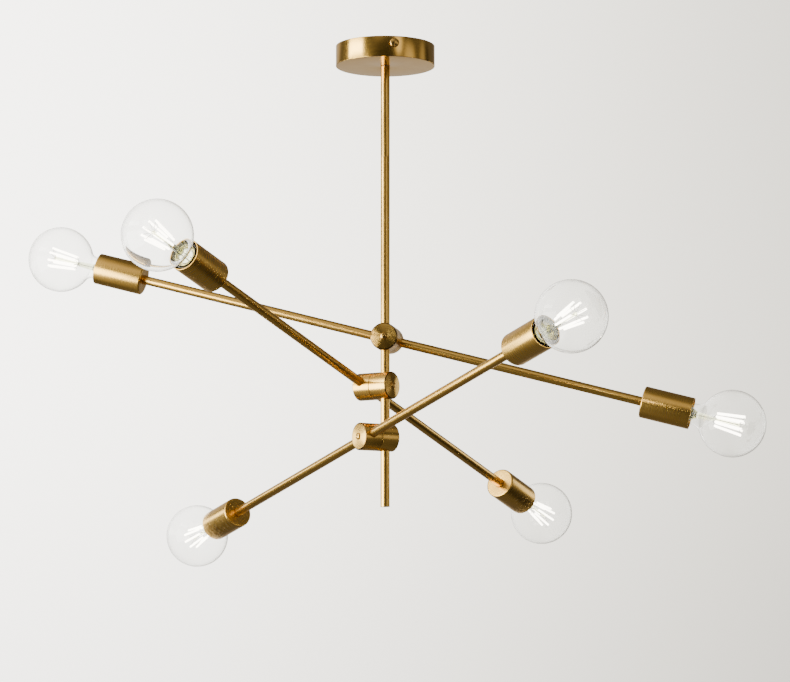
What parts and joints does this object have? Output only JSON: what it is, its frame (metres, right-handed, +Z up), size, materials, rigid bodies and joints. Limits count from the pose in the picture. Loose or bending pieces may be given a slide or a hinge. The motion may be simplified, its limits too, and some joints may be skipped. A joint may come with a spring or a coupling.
{
  "type": "multi arm chandelier",
  "caption": "Adjustable chandelier: a ceiling canopy and stem carry turned hubs, each swivelling round the stem and tilting a long arm with a cup and clear globe lamp at both ends.",
  "frame": {"origin": "centre of the ceiling face of the bracket and canopy, on the stem's axis", "axes": "+Z up, out of the ceiling face; -Y is the front; the stem runs down -Z"},
  "size_m": [0.8903, 0.791, 0.6166],
  "materials": {
    "antique_brass": "satin antique brass with a fine turned grain",
    "zinc_steel": "zinc plated",
    "clear_glass": "clear blown glass",
    "lamp_cap": "bright pressed metal with a clear glass foot and post",
    "holder_plastic": "dark heat-proof moulding"
  },
  "bodies": {
    "root": {"canopy": "antique_brass", "ceiling_bracket": "zinc_steel", "side_screw_front": "antique_brass", "side_screw_rear": "antique_brass", "earth_screw": "antique_brass", "stem_nipple": "zinc_steel", "stem_washer": "zinc_steel", "stem_nut": "zinc_steel", "upper_stem": "antique_brass", "stem_coupler": "zinc_steel", "lower_stem": "antique_brass", "stem_plug": "antique_brass"},
    "top_hub": {"top_hub_stem_half": "antique_brass", "top_hub_stem_screw": "antique_brass", "top_hub_pivot": "zinc_steel"},
    "top_arm_pair": {"top_hub_arm_half": "antique_brass", "top_hub_arm_screw": "antique_brass", "top_hub_washer": "zinc_steel", "top_arm": "antique_brass", "top_a_cup": "antique_brass", "top_a_holder": "holder_plastic", "top_a_globe": "clear_glass", "top_a_lamp_base": "lamp_cap", "top_b_cup": "antique_brass", "top_b_holder": "holder_plastic", "top_b_globe": "clear_glass", "top_b_lamp_base": "lamp_cap"},
    "middle_hub": {"middle_hub_stem_half": "antique_brass", "middle_hub_stem_screw": "antique_brass", "middle_hub_pivot": "zinc_steel"},
    "middle_arm_pair": {"middle_hub_arm_half": "antique_brass", "middle_hub_arm_screw": "antique_brass", "middle_hub_washer": "zinc_steel", "middle_arm": "antique_brass", "middle_a_cup": "antique_brass", "middle_a_holder": "holder_plastic", "middle_a_globe": "clear_glass", "middle_a_lamp_base": "lamp_cap", "middle_b_cup": "antique_brass", "middle_b_holder": "holder_plastic", "middle_b_globe": "clear_glass", "middle_b_lamp_base": "lamp_cap"},
    "lower_hub": {"lower_hub_stem_half": "antique_brass", "lower_hub_stem_screw": "antique_brass", "lower_hub_pivot": "zinc_steel"},
    "lower_arm_pair": {"lower_hub_arm_half": "antique_brass", "lower_hub_arm_screw": "antique_brass", "lower_hub_washer": "zinc_steel", "lower_arm": "antique_brass", "lower_a_cup": "antique_brass", "lower_a_holder": "holder_plastic", "lower_a_globe": "clear_glass", "lower_a_lamp_base": "lamp_cap", "lower_b_cup": "antique_brass", "lower_b_holder": "holder_plastic", "lower_b_globe": "clear_glass", "lower_b_lamp_base": "lamp_cap"}
  },
  "joints": [
    {"name": "top_swivel", "type": "hinge", "parent": "root", "child": "top_hub", "pos_m": [0, 0, -0.3555], "axis": [0, 0, 1], "range_deg": [-45, 45]},
    {"name": "top_tilt", "type": "hinge", "parent": "top_hub", "child": "top_arm_pair", "pos_m": [0, 0, -0.3555], "axis": [0.1719, 0.9851, 0], "range_deg": [-44.7, 15.3]},
    {"name": "middle_swivel", "type": "hinge", "parent": "root", "child": "middle_hub", "pos_m": [0, 0, -0.414], "axis": [0, 0, 1], "range_deg": [-45, 45]},
    {"name": "middle_tilt", "type": "hinge", "parent": "middle_hub", "child": "middle_arm_pair", "pos_m": [0, 0, -0.414], "axis": [-0.8271, 0.5621, 0], "range_deg": [-48.2, 11.8]},
    {"name": "lower_swivel", "type": "hinge", "parent": "root", "child": "lower_hub", "pos_m": [0, 0, -0.4765], "axis": [0, 0, 1], "range_deg": [-45, 45]},
    {"name": "lower_tilt", "type": "hinge", "parent": "lower_hub", "child": "lower_arm_pair", "pos_m": [0, 0, -0.4765], "axis": [-0.8425, -0.5388, 0], "range_deg": [-43.7, 16.3]}
  ]
}
